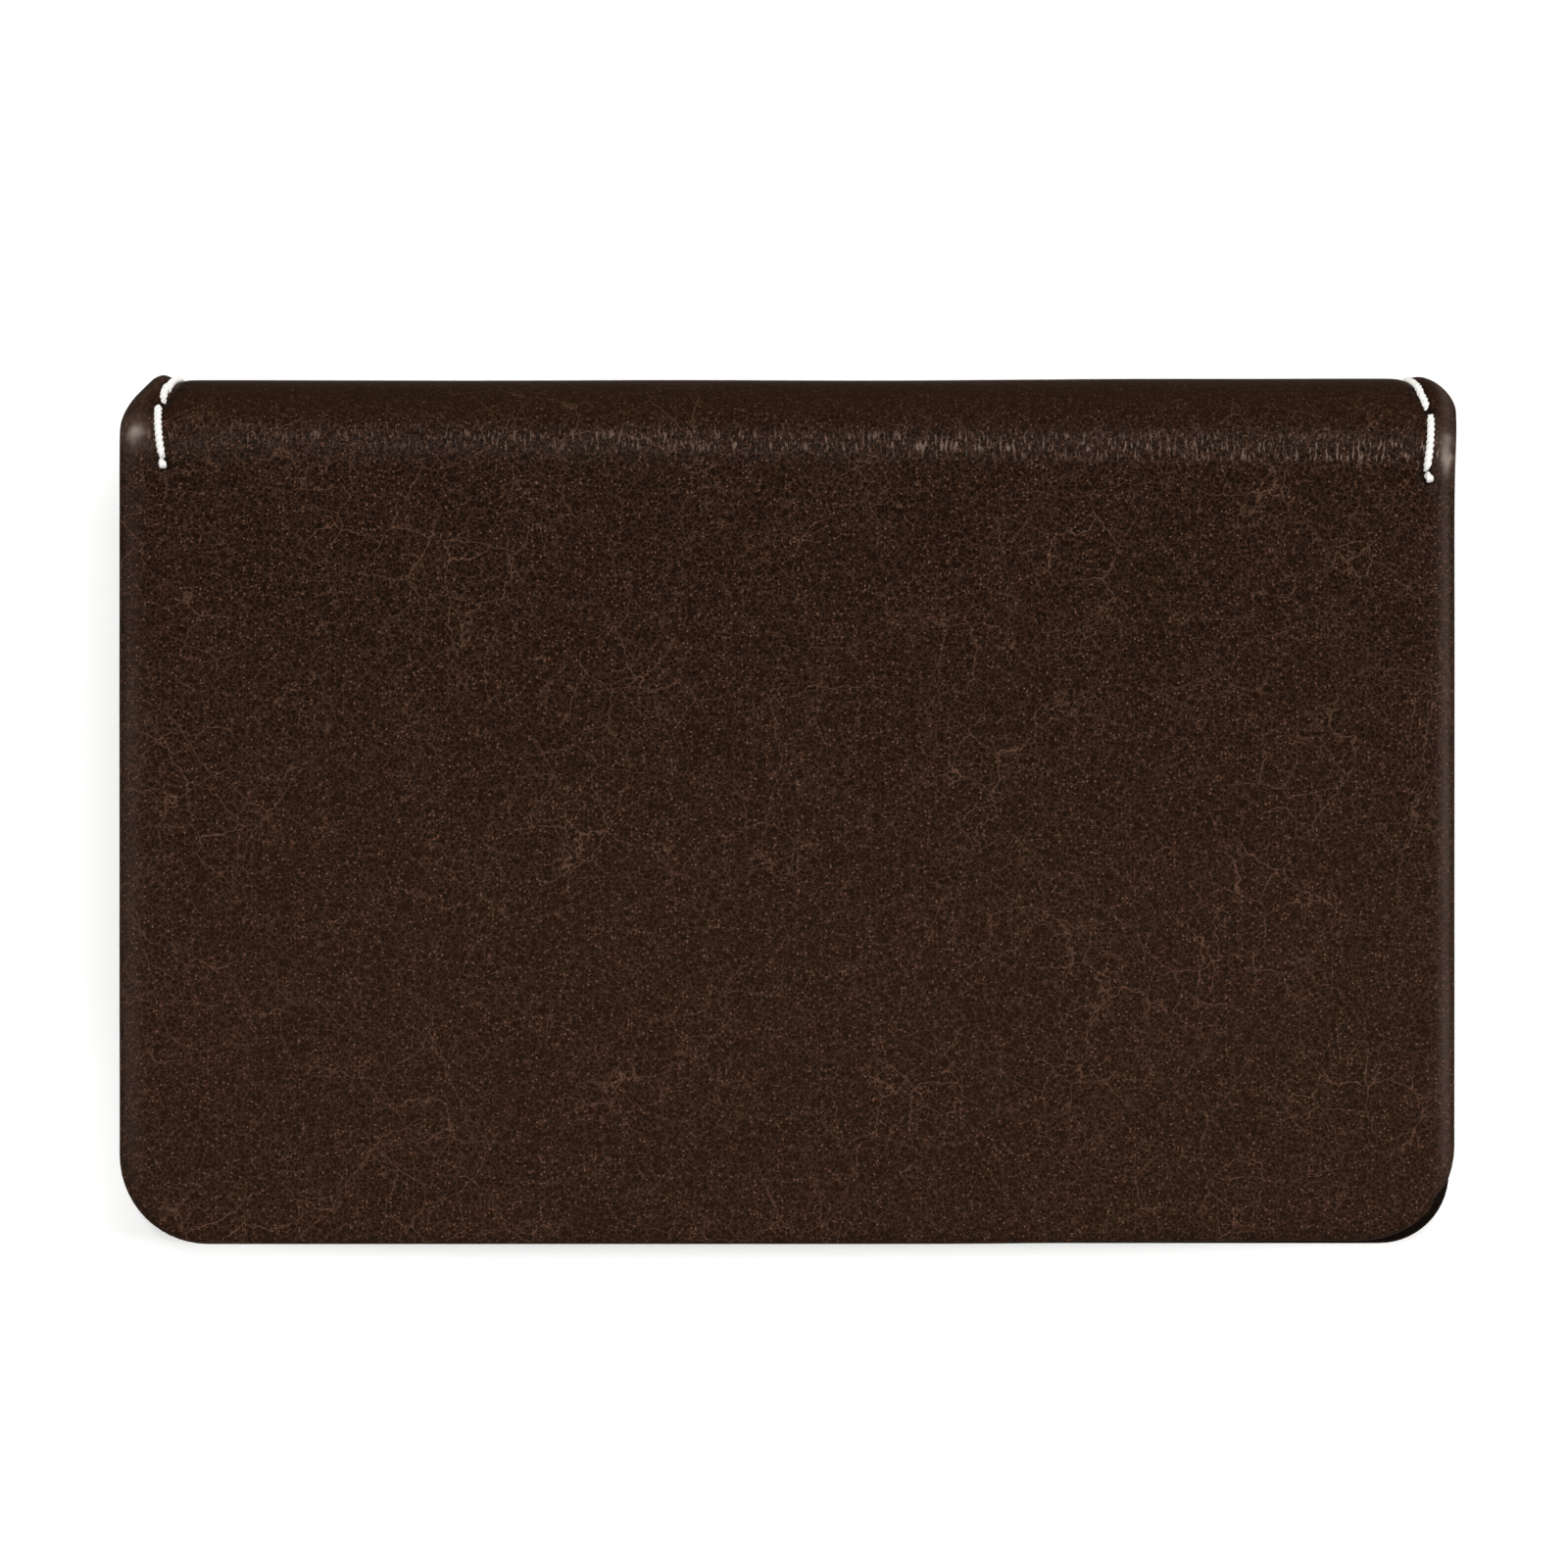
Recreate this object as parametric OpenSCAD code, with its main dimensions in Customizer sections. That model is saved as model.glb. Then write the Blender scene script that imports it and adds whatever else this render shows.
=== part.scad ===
// Flap-over leather business card case, lying closed on its back cover.
// X runs along the spine, +Y points at the spine and +Z up through the flap.
// The origin is the centre of the closed case's footprint, on the surface it lies on.

/* [Case] */
// Width of the case, along the spine
case_w = 108; // [98:1:130]
// Depth of the closed case, from its free edge to the spine's stitches
case_h = 70; // [66:1:90]
// Corner radius of the back cover at its free edge
back_corner_r = 6.4; // [4:0.1:8]
// Corner radius of the flap at its free edge
flap_corner_r = 7.2; // [4:0.1:8]
// How much shorter the flap is than the back cover
flap_setback = 0.3; // [0:0.1:1.5]
// Corner radius where the spine's ends are cut in
spine_corner_r = 3.6; // [2:0.1:4.5]

/* [Covers] */
// Thickness of the outer leather
skin_t = 1; // [0.7:0.1:1.3]
// Thickness of the stiffening boards
board_t = 0.6; // [0.4:0.1:1.2]
// Thickness of the turned-in hem, where the leather is pared down
hem_t = 0.5; // [0.3:0.1:0.9]
// Width of the turned-in hem
hem_w = 8; // [6:0.5:12]
// Thickness of the lining
lining_t = 0.4; // [0.3:0.1:0.8]
// How far the lining stays inside the cover's edge
lining_inset = 2; // [1.5:0.1:3]
// Strip next to the spine that the boards leave free, so that the covers can bend
board_gap = 2; // [1:0.5:4]

/* [Pockets] */
// Depth of the card stack that the main pocket holds
stack_d = 6; // [5:0.5:12]
// Thickness of the main pocket's leather, and of its back wall with the slip pocket behind it
pocket_t = 1; // [0.7:0.1:1.4]
// How far the pockets stay inside the cover's edge
pocket_inset = 3; // [2.5:0.1:4]
// Distance from the main pocket's mouth to the line where the spine starts to bend
mouth_setback = 3; // [2:0.5:8]
// Radius of the thumb notch in the main pocket's mouth
thumb_r = 10; // [7:0.5:14]
// Depth of the thumb notch
thumb_d = 6; // [3:0.5:6.5]
// Thickness of the flap's slip pocket
slip_t = 0.7; // [0.5:0.1:1]
// Room in each slip pocket
slip_gap = 0.3; // [0.2:0.05:0.4]
// Depth of the slip pocket on the flap
flap_slip_h = 40; // [25:1:48]
// Free room between the closed flap and the main pocket
flap_clear = 0.5; // [0.4:0.1:1.5]

/* [Gussets] */
// Thickness of the side gussets' leather
gusset_t = 0.5; // [0.4:0.1:0.7]
// Width of the gussets' seam margins, and of the slip pockets' glued edges
seam_w = 3.5; // [3:0.1:4.5]
// How far the gussets' fold points into the pocket
gusset_v = 0.9; // [0.5:0.1:2]

/* [Thread] */
// Diameter of the heavy thread across the spine's ends
spine_thread_d = 0.6; // [0.4:0.1:0.8]
// Diameter of the fine thread on the pockets
seam_thread_d = 0.45; // [0.3:0.05:0.5]
// Spacing of the pocket stitches
seam_pitch = 4.6; // [3:0.1:6]
// Space between two pocket stitches
seam_space = 1; // [0.6:0.1:1.4]
// Distance from a pocket's edge to its stitches
seam_inset = 1.9; // [1.5:0.1:2.2]

/* [Hidden] */
$fn = 96;
eps = 0.01;
seam_gap = 0.05;      // half the gap between two pieces that turn on each other
thread_clear = 0.03;  // room round a thread in its groove
hem_corner_r = 1;     // least corner radius inside the hems
corner_bulge = 0.1;   // the spine's corner arcs start this far outside, and so meet its sides at an angle

// Levels above the surface that the case lies on, from the back cover up to the flap
cover_t = skin_t + board_t + hem_t;
z_back_lining = cover_t;
z_slip = z_back_lining + lining_t;
z_floor = z_slip + pocket_t;
z_ceiling = z_floor + stack_d;
z_pocket_top = z_ceiling + pocket_t;
z_flap_slip = z_pocket_top + flap_clear;
z_flap_lining = z_flap_slip + slip_t + slip_gap;
case_t = z_flap_lining + lining_t + cover_t;

// The spine is a half round of leather between the covers, in strips that turn on each other
spine_r = case_t / 2;
spine_y = case_h / 2 - spine_thread_d / 2 - spine_r;
spine_top_y = spine_y + spine_r;
strips = 4;
strip_a = 180 / strips;
gap_a = seam_gap / spine_r * 180 / PI;
cover_end_y = spine_y - seam_gap;
back_edge_y = -case_h / 2;
flap_edge_y = back_edge_y + flap_setback;

// Main pocket
pocket_w = case_w - 2 * pocket_inset;
margin_x = pocket_w / 2 - seam_w;
fold_r = (z_pocket_top - z_slip) / 2;
fold_y = back_edge_y + pocket_inset + fold_r;
fold_z = z_slip + fold_r;
fold_flange = 5;
mouth_y = spine_y - mouth_setback;
divider_mouth_y = mouth_y + 2;
flap_slip_y = flap_edge_y + pocket_inset;

// Stitches across the spine: [from, to, distance in from the cover's edge], the angles counted from the
// apex of the spine towards the flap; the same three go down towards the back
stitch_rows = [[2, 21, 4.2], [24, 43.5, 3.6], [46.5, 88, 3]];
back_stitch_end = 70;  // the long stitch on the back stops here, clear of the surface below
groove_past = 0.4;     // degrees that a groove runs past its thread

leather = "#38241a";
leather_dark = "#2a1a12";
lining_brown = "#4a3426";
board_grey = "#8a8378";
thread_white = "#eeece6";

// A plate outline from edge y0 to a square end at y1, its two corners at y0 rounded
module plate_2d(w, y0, y1, r) {
    translate([-w / 2, y0 + r]) square([w, y1 - y0 - r]);
    translate([-w / 2 + r, y0]) square([w - 2 * r, r + eps]);
    for (s = [-1, 1]) translate([s * (w / 2 - r), y0 + r]) circle(r);
}

module plate(w, y0, y1, r, z0, t) {
    translate([0, 0, z0]) linear_extrude(t) plate_2d(w, y0, y1, r);
}

// Half of a plate's section at a rolled edge: reach is the distance from the cut to the edge
module rolled_edge_2d(reach, t) {
    square([reach - t / 2, t]);
    translate([reach - t / 2, t / 2]) circle(d = t);
}

// A plate of thickness t whose three free edges are rolled over to a full round
module rolled_plate(w, y0, y1, r, t) {
    straight_w = w - 2 * r;
    translate([-straight_w / 2, y0 + r, 0]) cube([straight_w, y1 - y0 - r, t]);
    for (s = [0, 1]) mirror([s, 0, 0]) {
        translate([straight_w / 2, y1, 0]) rotate([90, 0, 0])
            linear_extrude(y1 - y0 - r) rolled_edge_2d(r, t);
        translate([straight_w / 2, y0 + r, 0]) rotate([0, 0, -90])
            rotate_extrude(angle = 90) intersection() {
                rolled_edge_2d(r, t);
                square([r, t]);
            }
    }
    translate([-straight_w / 2, y0 + r, 0]) rotate([0, 0, -90]) rotate([90, 0, 0])
        mirror([0, 0, 1]) linear_extrude(straight_w) rolled_edge_2d(r, t);
}

// The pieces of one cover, outer face down: the leather wrapped round its board, the board and the lining
module board_solid(y0, r) {
    plate(case_w - 2 * skin_t, y0 + skin_t, spine_y - board_gap, r - skin_t, skin_t, board_t);
}

// The space between the hems from the outer leather up, with past added at its open end and its top
module hem_window(y0, r, past) {
    plate(case_w - 2 * hem_w, y0 + hem_w, cover_end_y + past, max(r - hem_w, hem_corner_r),
        skin_t, board_t + hem_t + past);
}

module cover_skin(y0, r) {
    difference() {
        rolled_plate(case_w, y0, cover_end_y, r, cover_t);
        board_solid(y0, r);
        hem_window(y0, r, 1);
    }
}

module cover_lining(y0, r) {
    difference() {
        union() {
            plate(case_w - 2 * lining_inset, y0 + lining_inset, cover_end_y,
                r - lining_inset, cover_t, lining_t);
            hem_window(y0, r, 0);
        }
        board_solid(y0, r);
    }
}

// Turns a cover's pieces over to lie on top, as the flap
module as_flap() {
    translate([0, 0, case_t]) mirror([0, 0, 1]) children();
}

// Strip k of the spine, swept from a section drawn as [radius, x]
module spine_strip(k) {
    translate([0, spine_y, spine_r]) rotate([90, 0, 90])
        rotate([0, 0, -90 + strip_a * (k - 1) + gap_a])
            rotate_extrude(angle = strip_a - 2 * gap_a) children();
}

// A section band between two radii, w wide
module band_2d(r0, r1, w) {
    translate([r0, -w / 2]) square([r1 - r0, w]);
}

// What is cut away to round both ends of the spine as seen from above, w wide and up to top_y
module end_cuts(w, top_y) {
    inset = spine_corner_r - corner_bulge;
    for (s = [0, 1]) mirror([s, 0, 0])
        translate([w / 2 - inset, top_y - inset, -1]) linear_extrude(case_t + 2)
            difference() {
                square(spine_corner_r + 1);
                circle(spine_corner_r);
            }
}

// One stitch along the round of the spine, a to b degrees up from the apex
module spine_stitch(a, b, inset, d) {
    for (s = [-1, 1]) translate([0, spine_y, spine_r]) rotate([90, 0, 90])
        rotate([0, 0, a]) rotate_extrude(angle = b - a)
            translate([spine_r, s * (case_w / 2 - inset)]) circle(d = d);
}

// The stitches that lie on strip k
module strip_stitches(k, d, grow = 0) {
    for (row = stitch_rows) {
        up = k > strips / 2;
        from = row[0] - grow;
        to = (up ? row[1] : min(row[1], back_stitch_end)) + grow;
        low = up ? from : -to;
        high = up ? to : -from;
        middle = (low + high) / 2 + 90;
        if (middle > strip_a * (k - 1) && middle < strip_a * k) spine_stitch(low, high, row[2], d);
    }
}

module cover_spine(k) {
    color(leather) difference() {
        spine_strip(k) {
            band_2d(spine_r - skin_t, spine_r, case_w);
            for (s = [-1, 1]) translate([0, s * (case_w - hem_w) / 2])
                band_2d(spine_r - cover_t, spine_r - skin_t + eps, hem_w);
        }
        end_cuts(case_w, spine_top_y);
        strip_stitches(k, spine_thread_d + 2 * thread_clear, groove_past);
    }
}

module spine_lining(k) {
    inner_r = spine_r - cover_t - lining_t;
    color(lining_brown) difference() {
        spine_strip(k) {
            band_2d(inner_r, spine_r - cover_t, case_w - 2 * lining_inset);
            band_2d(spine_r - cover_t - eps, spine_r - skin_t, case_w - 2 * hem_w);
        }
        end_cuts(case_w - 2 * lining_inset, spine_top_y - cover_t);
    }
}

module spine_stitches(k) {
    color(thread_white) strip_stitches(k, spine_thread_d);
}

module cover_back() {
    color(leather) cover_skin(back_edge_y, back_corner_r);
}

module back_board() {
    color(board_grey) board_solid(back_edge_y, back_corner_r);
}

module back_lining() {
    color(lining_brown) cover_lining(back_edge_y, back_corner_r);
}

module cover_flap() {
    color(leather) as_flap() cover_skin(flap_edge_y, flap_corner_r);
}

module flap_board() {
    color(board_grey) as_flap() board_solid(flap_edge_y, flap_corner_r);
}

module flap_lining() {
    color(lining_brown) as_flap() cover_lining(flap_edge_y, flap_corner_r);
}

// Back wall of the main pocket, glued at its sides so that it makes a slip pocket behind itself
module pocket_divider() {
    y0 = fold_y + fold_flange;
    color(leather_dark) difference() {
        translate([-pocket_w / 2, y0, z_slip]) cube([pocket_w, divider_mouth_y - y0, pocket_t]);
        translate([-margin_x, y0 - 1, z_slip - 1])
            cube([2 * margin_x, divider_mouth_y - y0 + 2, slip_gap + 1]);
    }
}

// Where the pocket's leather turns round the bottom of the card stack, with the flange that holds it
module pocket_bottom_fold() {
    color(leather) translate([-pocket_w / 2, fold_y, fold_z]) rotate([90, 0, 90])
        linear_extrude(pocket_w) {
            difference() {
                circle(fold_r);
                circle(fold_r - pocket_t);
                translate([0, -fold_r - 1]) square(2 * fold_r + 2);
            }
            translate([0, -fold_r]) square([fold_flange, pocket_t]);
        }
}

// Section of the left gusset: a seam margin on the divider, the inward fold, and the margin under the pocket
module gusset_2d() {
    edge_x = -pocket_w / 2;
    apex_x = -margin_x + gusset_v;
    mid_z = (z_floor + z_ceiling) / 2;
    polygon([
        [edge_x, z_floor], [-margin_x + gusset_t, z_floor], [apex_x + gusset_t, mid_z],
        [-margin_x + gusset_t, z_ceiling], [edge_x, z_ceiling],
        [edge_x, z_ceiling - gusset_t], [-margin_x, z_ceiling - gusset_t], [apex_x, mid_z],
        [-margin_x, z_floor + gusset_t], [edge_x, z_floor + gusset_t]
    ]);
}

// Left gusset, its lower end trimmed to the inside of the bottom fold
module gusset() {
    inner_r = fold_r - pocket_t - seam_gap;
    translate([0, mouth_y, 0]) rotate([90, 0, 0]) linear_extrude(mouth_y - fold_y) gusset_2d();
    intersection() {
        translate([0, fold_y + eps, 0]) rotate([90, 0, 0]) linear_extrude(inner_r + eps) gusset_2d();
        translate([-case_w / 2, fold_y, fold_z]) rotate([0, 90, 0]) cylinder(h = case_w / 2, r = inner_r);
    }
}

module gusset_left() {
    color(leather_dark) gusset();
}

module gusset_right() {
    color(leather_dark) mirror([1, 0, 0]) gusset();
}

// A row of n stitches along X from the origin, sunk level with the leather's face at z = 0
module stitch_row(n, pitch, d) {
    for (i = [0:n - 1]) translate([(i - (n - 1) / 2) * pitch, 0, 0]) rotate([0, 90, 0])
        cylinder(h = pitch - seam_space, d = d, center = true, $fn = 24);
}

// Stitches along the two side seams of the main pocket
module pocket_seams(d) {
    y0 = fold_y + seam_space;
    run = mouth_y - seam_space - y0;
    n = floor(run / seam_pitch);
    for (s = [-1, 1]) translate([s * (pocket_w / 2 - seam_inset), y0 + run / 2, z_pocket_top - d / 3])
        rotate([0, 0, 90]) stitch_row(n, run / n, d);
}

module pocket_front() {
    y0 = fold_y + seam_gap;
    color(leather) difference() {
        translate([-pocket_w / 2, y0, z_ceiling]) cube([pocket_w, mouth_y - y0, pocket_t]);
        translate([0, mouth_y + thumb_r - thumb_d, z_ceiling - 1]) cylinder(h = pocket_t + 2, r = thumb_r);
        pocket_seams(seam_thread_d + 2 * thread_clear);
    }
}

module pocket_stitches() {
    color(thread_white) pocket_seams(seam_thread_d);
}

// Stitches along the three closed edges of the flap's slip pocket, on its face towards the main pocket
module flap_slip_seams(d) {
    inset_x = pocket_w / 2 - seam_inset;
    z = z_flap_slip + d / 3;
    y0 = flap_slip_y + flap_corner_r;
    run_y = flap_slip_h - flap_corner_r - seam_space;
    run_x = pocket_w - 2 * flap_corner_r;
    n_y = floor(run_y / seam_pitch);
    n_x = floor(run_x / seam_pitch);
    for (s = [-1, 1]) translate([s * inset_x, y0 + run_y / 2, z]) rotate([0, 0, 90])
        stitch_row(n_y, run_y / n_y, d);
    translate([0, flap_slip_y + seam_inset, z]) stitch_row(n_x, run_x / n_x, d);
}

module flap_slip_pocket() {
    corner = max(flap_corner_r - pocket_inset, hem_corner_r);
    color(leather_dark) difference() {
        plate(pocket_w, flap_slip_y, flap_slip_y + flap_slip_h, corner, z_flap_slip, slip_t + slip_gap);
        translate([-margin_x, flap_slip_y + seam_w, z_flap_slip + slip_t])
            cube([2 * margin_x, flap_slip_h, slip_gap + 1]);
        flap_slip_seams(seam_thread_d + 2 * thread_clear);
    }
}

module flap_slip_stitches() {
    color(thread_white) flap_slip_seams(seam_thread_d);
}

cover_back();
back_board();
back_lining();
pocket_divider();
pocket_bottom_fold();
gusset_left();
gusset_right();
pocket_front();
pocket_stitches();
for (k = [1:strips]) {
    cover_spine(k);
    spine_lining(k);
    spine_stitches(k);
}
cover_flap();
flap_board();
flap_lining();
flap_slip_pocket();
flap_slip_stitches();
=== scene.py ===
import math

import bmesh
import bpy
from mathutils import Matrix, Vector, noise


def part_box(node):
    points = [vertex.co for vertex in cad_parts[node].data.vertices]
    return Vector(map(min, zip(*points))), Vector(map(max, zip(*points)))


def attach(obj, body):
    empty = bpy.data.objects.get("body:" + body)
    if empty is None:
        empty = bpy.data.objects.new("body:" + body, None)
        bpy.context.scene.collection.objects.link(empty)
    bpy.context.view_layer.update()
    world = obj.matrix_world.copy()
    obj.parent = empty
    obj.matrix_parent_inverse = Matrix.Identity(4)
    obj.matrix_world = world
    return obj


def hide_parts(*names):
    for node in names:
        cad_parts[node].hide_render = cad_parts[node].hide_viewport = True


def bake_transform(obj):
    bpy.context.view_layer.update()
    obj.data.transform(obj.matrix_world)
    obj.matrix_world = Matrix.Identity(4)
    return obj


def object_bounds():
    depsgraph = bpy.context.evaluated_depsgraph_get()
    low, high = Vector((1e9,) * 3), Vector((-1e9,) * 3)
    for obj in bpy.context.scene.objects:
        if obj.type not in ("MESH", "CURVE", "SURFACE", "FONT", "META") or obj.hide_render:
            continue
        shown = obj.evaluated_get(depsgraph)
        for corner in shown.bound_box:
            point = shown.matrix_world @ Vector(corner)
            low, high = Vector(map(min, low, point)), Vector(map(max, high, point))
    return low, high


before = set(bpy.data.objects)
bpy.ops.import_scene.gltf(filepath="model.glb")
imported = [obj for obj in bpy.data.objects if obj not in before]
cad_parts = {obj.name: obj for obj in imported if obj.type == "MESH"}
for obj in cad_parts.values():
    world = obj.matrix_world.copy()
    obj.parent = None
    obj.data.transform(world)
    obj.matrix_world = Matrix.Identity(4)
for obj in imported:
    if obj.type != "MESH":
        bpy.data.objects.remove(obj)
cadLow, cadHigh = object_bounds()
mm = 0.001
onTheCut = 1e-7  # a vertex nearer to a cut than this counts as lying on it

backLow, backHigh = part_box("cover_back")
flapLow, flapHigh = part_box("cover_flap")
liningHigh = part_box("back_lining")[1]
coverThick = backHigh.z - backLow.z
liningThick = liningHigh.z - backHigh.z
liningInset = backHigh.x - liningHigh.x
halfWidth = backHigh.x
spineRadius = flapHigh.z / 2
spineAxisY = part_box("cover_spine_3")[1].y - spineRadius

# The cover is made flat: x runs along the spine, y along the leather from the back's edge to the flap's
# edge with 0 at the spine's apex, and z from its outer face inwards. Then it is rolled round the spine.
coverRoll = {"y": spineAxisY, "z": spineRadius, "radius": spineRadius, "side": 1}
quarterRoll = spineRadius * math.pi / 2
flapEnd = quarterRoll + spineAxisY - flapLow.y
backEnd = -(quarterRoll + spineAxisY - backLow.y)
stripAngle = math.radians(45)

# where the leather changes from one pair of bodies to the next, counted in spine strips from the apex
stretches = [
    {"name": "back", "bodies": ("back", "spine_1"), "fold": -2 * stripAngle, "from": None, "to": -1.5},
    {"name": "lowSpine", "bodies": ("spine_1", "spine_2"), "fold": -stripAngle, "from": -1.5, "to": -0.5},
    {"name": "midSpine", "bodies": ("spine_2", "spine_3"), "fold": 0.0, "from": -0.5, "to": 0.5},
    {"name": "topSpine", "bodies": ("spine_3", "spine_4"), "fold": stripAngle, "from": 0.5, "to": 1.5},
    {"name": "flap", "bodies": ("spine_4", "flap"), "fold": 2 * stripAngle, "from": 1.5, "to": None},
]

print("frame loaded:", round(halfWidth * 2000, 1), "mm wide")


def smoothStep(low, high, value):
    share = min(max((value - low) / (high - low), 0.0), 1.0)
    return share * share * (3 - 2 * share)


def bell(distance, width):
    return math.exp(-(distance / width) ** 2)


def steps(low, high, size):
    # even places from low to high, as near as they can be to this size apart
    count = max(1, round((high - low) / size))
    return [low + (high - low) * i / count for i in range(count + 1)]


def bothSides(places):
    return places + [-place for place in places]


def rolled(point, roll):
    # a point of the flat leather, rolled round an axis that lies along x
    quarter = roll["radius"] * math.pi / 2
    inner = roll["radius"] - point.z
    if abs(point.y) <= quarter:
        angle = point.y / roll["radius"]
        outY, outZ = inner * math.cos(angle), inner * math.sin(angle)
    else:
        outY = quarter - abs(point.y)
        outZ = math.copysign(inner, point.y)
    return Vector((point.x, roll["y"] + roll["side"] * outY, roll["z"] + roll["side"] * outZ))


def grownVerts(grown):
    return [item for item in grown["geom"] if isinstance(item, bmesh.types.BMVert)]


def grownEdges(grown):
    return [item for item in grown["geom"] if isinstance(item, bmesh.types.BMEdge)]


def outlineFace(bm, corners, segments=14):
    # a flat face through the corners (x, y, corner radius)
    verts = [bm.verts.new((x, y, 0)) for x, y, radius in corners]
    bm.faces.new(verts)
    for vert, (x, y, radius) in zip(verts, corners):
        if radius:
            bmesh.ops.bevel(bm, geom=[vert], offset=radius, affect="VERTICES", segments=segments,
                            profile=0.5, material=-1)


def thicken(bm, thickness, edgeRound, segments, ring=0.2 * mm):
    # makes the outline a slab with rounded rims, and a narrow flat ring inside each rim for clean shading
    grown = bmesh.ops.extrude_face_region(bm, geom=bm.faces[:])
    bmesh.ops.translate(bm, verts=grownVerts(grown), vec=(0, 0, thickness))
    bmesh.ops.recalc_face_normals(bm, faces=bm.faces[:])
    level = [face for face in bm.faces if abs(face.normal.z) > 0.9]
    rims = [edge for face in level for edge in face.edges]
    bmesh.ops.bevel(bm, geom=rims, offset=edgeRound, affect="EDGES", segments=segments,
                    profile=0.5, material=-1, clamp_overlap=False)
    level = sorted(bm.faces, key=lambda face: -face.calc_area())[:2]
    for face in level:
        bmesh.ops.inset_region(bm, faces=[face], thickness=ring, use_even_offset=True)


def cutAcross(bm, axis, places):
    # cuts the whole mesh at these places along an axis, so that it can bend and be pressed in
    normal = Vector((0, 0, 0))
    normal[axis] = 1
    for place in places:
        everything = bm.verts[:] + bm.edges[:] + bm.faces[:]
        bmesh.ops.bisect_plane(bm, geom=everything, dist=onTheCut, plane_co=normal * place, plane_no=normal)


def keepPlaces(bm, polishAndPaintedShineAt=None, needleAndRimShadeAt=None):
    # keeps for the materials each vertex's place on the flat leather in mm, how burnished it is there and how
    # much painted highlight it gets, and how much painted shade it gets in the awl holes and on the rim's
    # inner half
    place = bm.verts.layers.float_vector.new("leatherPlace")
    polishAndPaintedShine = bm.verts.layers.float.new("polishAndPaintedShine")
    needleAndRimShade = bm.verts.layers.float.new("needleAndRimShade")
    for vert in bm.verts:
        vert[place] = vert.co / mm
        vert[polishAndPaintedShine] = polishAndPaintedShineAt(vert.co) if polishAndPaintedShineAt else 0.0
        vert[needleAndRimShade] = needleAndRimShadeAt(vert.co) if needleAndRimShadeAt else 0.0


def shadeSmooth(bm):
    for face in bm.faces:
        face.smooth = True


def makePiece(bm, name, material):
    mesh = bpy.data.meshes.new(name)
    bm.to_mesh(mesh)
    bm.free()
    mesh.materials.append(material)
    piece = bpy.data.objects.new(name, mesh)
    bpy.context.scene.collection.objects.link(piece)
    return piece


def bendWithSpine(bm, name, material, standsFor):
    # splits flat work into the five stretches and rolls each round the spine
    for stretch in stretches:
        part = bm.copy()
        for key, side in (("from", -1), ("to", 1)):
            if stretch[key] is None:
                continue
            place = stretch[key] * stripAngle * spineRadius
            everything = part.verts[:] + part.edges[:] + part.faces[:]
            bmesh.ops.bisect_plane(part, geom=everything, dist=onTheCut, plane_co=(0, place, 0),
                                   plane_no=(0, side, 0), clear_outer=True)
        if not part.faces:
            part.free()
            continue
        openEdges = [edge for edge in part.edges if edge.is_boundary]
        caps = bmesh.ops.holes_fill(part, edges=openEdges, sides=0)["faces"] if openEdges else []
        for cap in caps:
            cap.smooth = False
            for edge in cap.edges:
                edge.smooth = False
        for vert in part.verts:
            vert.co = rolled(vert.co, coverRoll)
        piece = makePiece(part, name + stretch["name"][0].upper() + stretch["name"][1:], material)
        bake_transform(piece)
        nodes = standsFor.get(stretch["name"], ())
        if nodes:
            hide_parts(*nodes)
    bm.free()


def linear(hexColour):
    # an sRGB hex colour as the linear one that shaders take
    channels = [int(hexColour[i:i + 2], 16) / 255 for i in (1, 3, 5)]
    return (*[c / 12.92 if c <= 0.04045 else ((c + 0.055) / 1.055) ** 2.4 for c in channels], 1.0)


def addNode(tree, kind, settings, inputs, output=0):
    # adds a node with its settings and links, and gives back one of its outputs
    node = tree.nodes.new(kind)
    for name, value in settings.items():
        setattr(node, name, value)
    for name, value in inputs.items():
        if isinstance(value, bpy.types.NodeSocket):
            tree.links.new(value, node.inputs[name])
        else:
            node.inputs[name].default_value = value
    return node.outputs[output]


def newMaterial(name):
    material = bpy.data.materials.new(name)
    material.use_nodes = True
    tree = material.node_tree
    return material, tree, tree.nodes["Principled BSDF"]


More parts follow.
